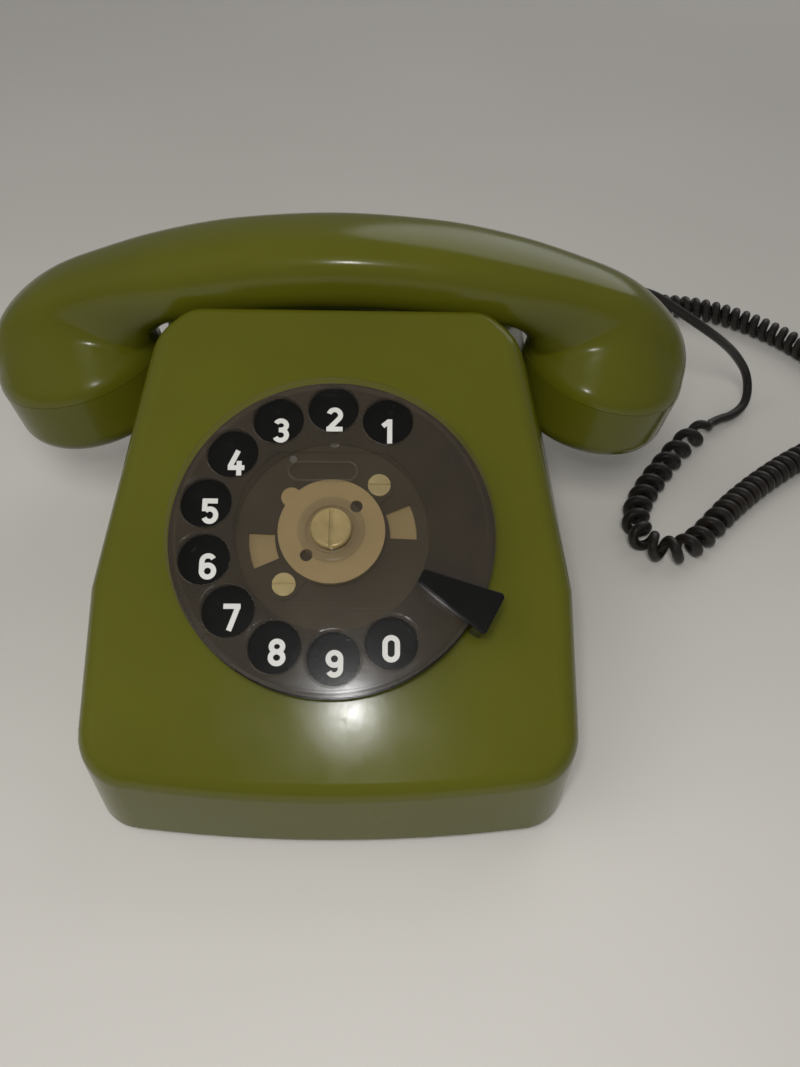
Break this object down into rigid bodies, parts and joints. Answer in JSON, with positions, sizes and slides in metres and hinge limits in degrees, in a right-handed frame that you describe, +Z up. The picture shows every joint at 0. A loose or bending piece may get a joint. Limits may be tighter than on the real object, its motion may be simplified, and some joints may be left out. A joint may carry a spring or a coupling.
{
  "type": "rotary telephone",
  "caption": "Green moulded desk telephone with a clear finger wheel, bell ringer, lift-off handset and curly cord.",
  "frame": {"origin": "on the table under the middle of the telephone, cord left out", "axes": "+X to the user's right, +Y to the back, +Z up"},
  "size_m": [0.3273, 0.2676, 0.108],
  "materials": {
    "green_plastic": "glossy moulded green plastic",
    "clear_plastic": "clear moulded acrylic",
    "black_plastic": "black plastic",
    "dark_plate": "dark grey plate",
    "cream_plastic": "cream moulded plastic",
    "brass": "turned brass",
    "steel": "plain steel",
    "cord": "dark brown vinyl",
    "rubber": "black rubber",
    "base_metal": "dark painted sheet steel",
    "gong": "spun gong metal",
    "copper": "enamelled winding",
    "board": "brown circuit board",
    "zinc": "die-cast zinc"
  },
  "bodies": {
    "base": {"housing": "green_plastic", "base_plate": "base_metal", "rubber_feet": "rubber", "housing_screws": "steel", "dial_frame": "green_plastic", "dial_clamp_ring": "steel", "dial_plate": "dark_plate", "dial_rear_plate": "steel", "bearing_bush": "dark_plate", "dial_plate_screws": "steel", "number_ring": "black_plastic", "finger_stop": "black_plastic", "governor_drum": "zinc", "pulse_contacts": "brass", "return_spring": "steel", "gong_left": "gong", "gong_right": "gong", "gong_posts": "steel", "gong_screws": "brass", "ringer_frame": "zinc", "ringer_cores": "steel", "ringer_coils": "copper", "hook_bracket": "zinc", "hook_contacts": "brass", "hook_spring": "steel", "circuit_board": "board", "board_posts": "brass", "induction_core": "steel", "induction_winding": "copper", "capacitor": "zinc", "terminal_block": "cream_plastic", "body_gland": "cord", "line_inlet": "black_plastic", "handset_cord": "cord"},
    "dial": {"finger_wheel": "clear_plastic", "drive_hub": "cream_plastic", "wheel_screw": "brass", "dial_shaft": "steel", "main_gear": "cream_plastic"},
    "pulse_train": {"pulse_shaft": "steel", "pulse_pinion": "brass", "pulse_cam": "black_plastic", "governor_gear": "brass"},
    "governor": {"governor_shaft": "steel", "governor_pinion": "steel", "governor_weights": "brass"},
    "striker": {"armature": "steel", "clapper": "steel"},
    "volume": {"volume_knob": "black_plastic"},
    "hook": {"cradle_plungers": "green_plastic", "hook_bar": "zinc"},
    "handset": {"handset_shell": "green_plastic", "ear_cap": "green_plastic", "mouth_cap": "green_plastic", "receiver_capsule": "dark_plate", "transmitter_capsule": "dark_plate", "handset_gland": "cord"}
  },
  "joints": [
    {"name": "dial_turn", "type": "hinge", "parent": "base", "child": "dial", "pos_m": [0, -0.03443, 0.05865], "axis": [0, -0.4818, 0.8763], "range_deg": [-312, 0], "stiffness_Nm_per_rad": 0.008, "springref_deg": 85.94},
    {"name": "pulse_turn", "type": "hinge", "parent": "base", "child": "pulse_train", "pos_m": [0, -0.01164, 0.07118], "axis": [0, -0.4818, 0.8763], "range_deg": [-1, 1249]},
    {"name": "governor_turn", "type": "hinge", "parent": "base", "child": "governor", "pos_m": [-0.01096, -0.01592, 0.06882], "axis": [0, -0.4818, 0.8763], "range_deg": [-3745, 1]},
    {"name": "clapper_swing", "type": "hinge", "parent": "base", "child": "striker", "pos_m": [0, 0.04, 0.02], "axis": [0, 0, 1], "range_deg": [-10, 10], "stiffness_Nm_per_rad": 0.002},
    {"name": "volume_turn", "type": "hinge", "parent": "base", "child": "volume", "pos_m": [-0.044, 0.018, 0.0045], "axis": [0, 0, 1], "range_deg": [0, 30]},
    {"name": "handset_lift", "type": "slide", "parent": "base", "child": "handset", "axis": [0, 0, 1], "range_m": [0, 0.12]},
    {"name": "hook_rise", "type": "slide", "parent": "base", "child": "hook", "axis": [0, 0, 1], "range_m": [0, 0.006], "deforming": ["hook_spring"]}
  ],
  "couplings": [
    {"joint": "pulse_turn", "follows": "dial_turn", "ratio": -4},
    {"joint": "governor_turn", "follows": "dial_turn", "ratio": 12},
    {"joint": "hook_rise", "follows": "handset_lift", "ratio": 0.05}
  ]
}
